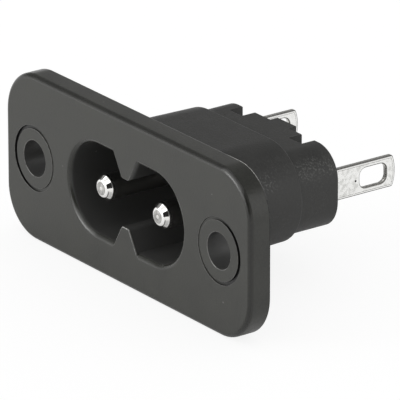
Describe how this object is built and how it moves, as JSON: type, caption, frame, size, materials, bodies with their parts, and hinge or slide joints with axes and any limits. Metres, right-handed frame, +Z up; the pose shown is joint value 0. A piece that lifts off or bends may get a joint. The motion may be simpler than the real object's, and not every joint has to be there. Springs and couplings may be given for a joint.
{
  "type": "panel-mount appliance inlet",
  "caption": "Screw-flanged mains inlet with a figure-eight socket, round recessed contact pins and flat solder tags with wire eyes at the back.",
  "frame": {"origin": "midway between the screw holes, on the flange's back face, which lies against the panel", "axes": "+X to the right seen from the front, +Y back through the panel towards the solder tags, +Z up"},
  "size_m": [0.037, 0.0245, 0.016],
  "materials": {
    "housing_plastic": "black thermoplastic with a fine spark-eroded grain",
    "pin_metal": "bright nickel plate on turned brass",
    "tag_metal": "satin tin plate on stamped brass"
  },
  "bodies": {
    "root": {"housing": "housing_plastic", "contact_pin_left": "pin_metal", "contact_pin_right": "pin_metal", "solder_tag_left": "tag_metal", "solder_tag_right": "tag_metal"}
  },
  "joints": []
}
